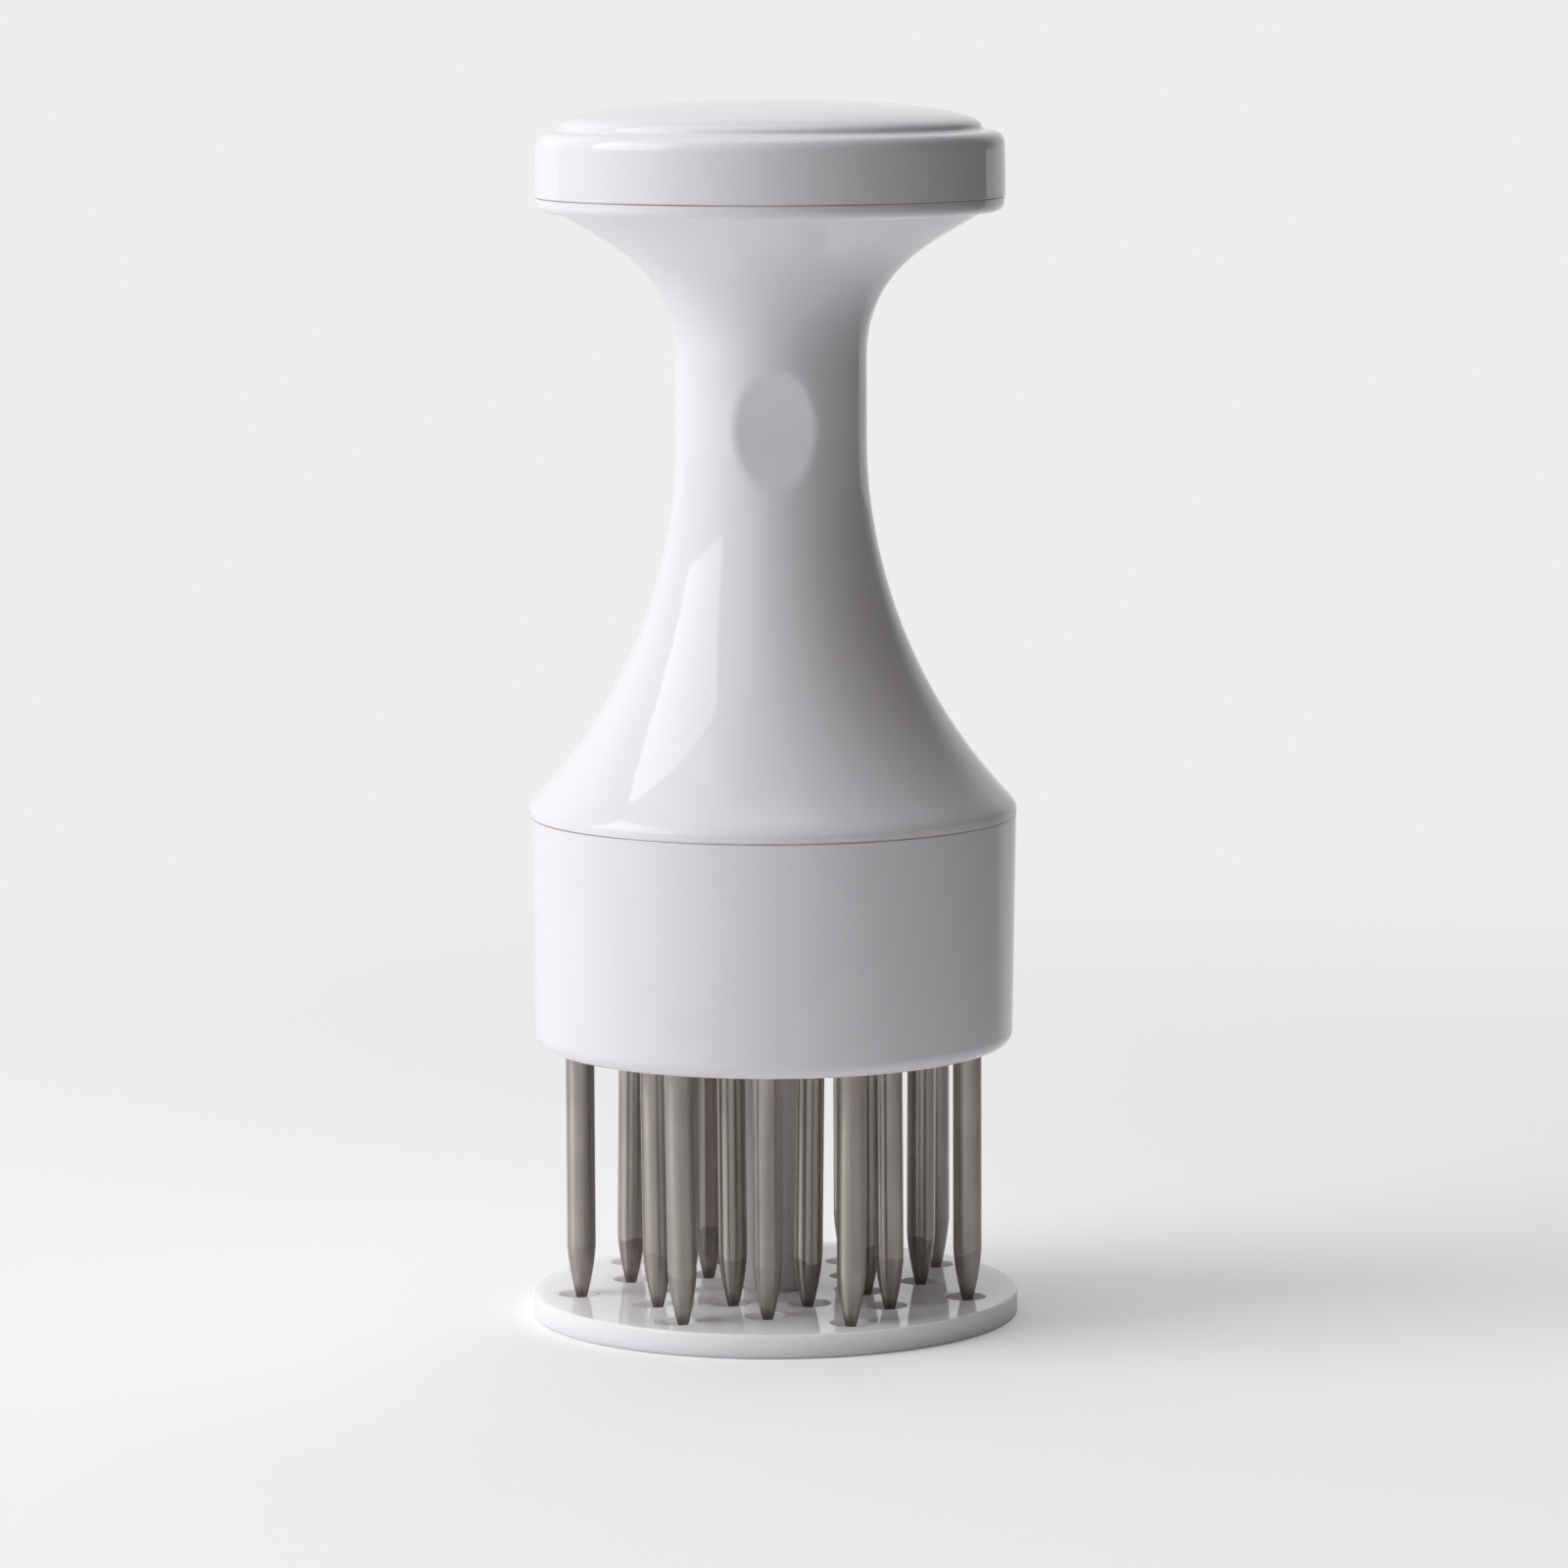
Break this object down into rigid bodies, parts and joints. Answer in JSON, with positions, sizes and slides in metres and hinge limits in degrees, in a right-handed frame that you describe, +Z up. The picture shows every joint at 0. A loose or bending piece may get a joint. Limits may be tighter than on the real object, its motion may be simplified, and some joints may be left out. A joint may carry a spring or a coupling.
{
  "type": "meat tenderizer",
  "caption": "Hand press meat tenderizer: waisted grip on a round housing, with steel needles that pass through a sprung, perforated press plate.",
  "frame": {"origin": "centre of the underside of the press plate, which the tool stands on", "axes": "+Z up along the tool's axis, from the press plate towards the cap; -Y towards the thumb recess"},
  "size_m": [0.0482, 0.0482, 0.12],
  "materials": {
    "white_plastic": "glossy white moulded plastic",
    "inner_plastic": "plain off-white moulded plastic",
    "needle_steel": "satin stainless steel, drawn lengthwise",
    "screw_steel": "zinc plated",
    "spring_steel": "bright spring wire"
  },
  "bodies": {
    "tool_body": {"top_cap": "white_plastic", "handle_shell": "white_plastic", "lower_housing": "white_plastic", "needle_carrier": "inner_plastic", "clamp_plate": "inner_plastic", "return_spring": "spring_steel", "clamp_screw_1": "screw_steel", "clamp_screw_2": "screw_steel", "clamp_screw_3": "screw_steel", "needle_outer_1": "needle_steel", "needle_outer_2": "needle_steel", "needle_outer_3": "needle_steel", "needle_outer_4": "needle_steel", "needle_outer_5": "needle_steel", "needle_outer_6": "needle_steel", "needle_outer_7": "needle_steel", "needle_middle_1": "needle_steel", "needle_middle_2": "needle_steel", "needle_middle_3": "needle_steel", "needle_middle_4": "needle_steel", "needle_middle_5": "needle_steel", "needle_middle_6": "needle_steel", "needle_middle_7": "needle_steel", "needle_inner_1": "needle_steel", "needle_inner_2": "needle_steel", "needle_inner_3": "needle_steel", "needle_inner_4": "needle_steel", "needle_inner_5": "needle_steel", "needle_inner_6": "needle_steel", "needle_inner_7": "needle_steel"},
    "press_assembly": {"press_plate": "white_plastic", "press_stem": "white_plastic", "plate_screw": "screw_steel"}
  },
  "joints": [
    {"name": "press_slide", "type": "slide", "parent": "tool_body", "child": "press_assembly", "axis": [0, 0, 1], "range_m": [0, 0.0242], "stiffness_N_per_m": 300, "springref_m": -0.02, "deforming": ["return_spring"]}
  ]
}
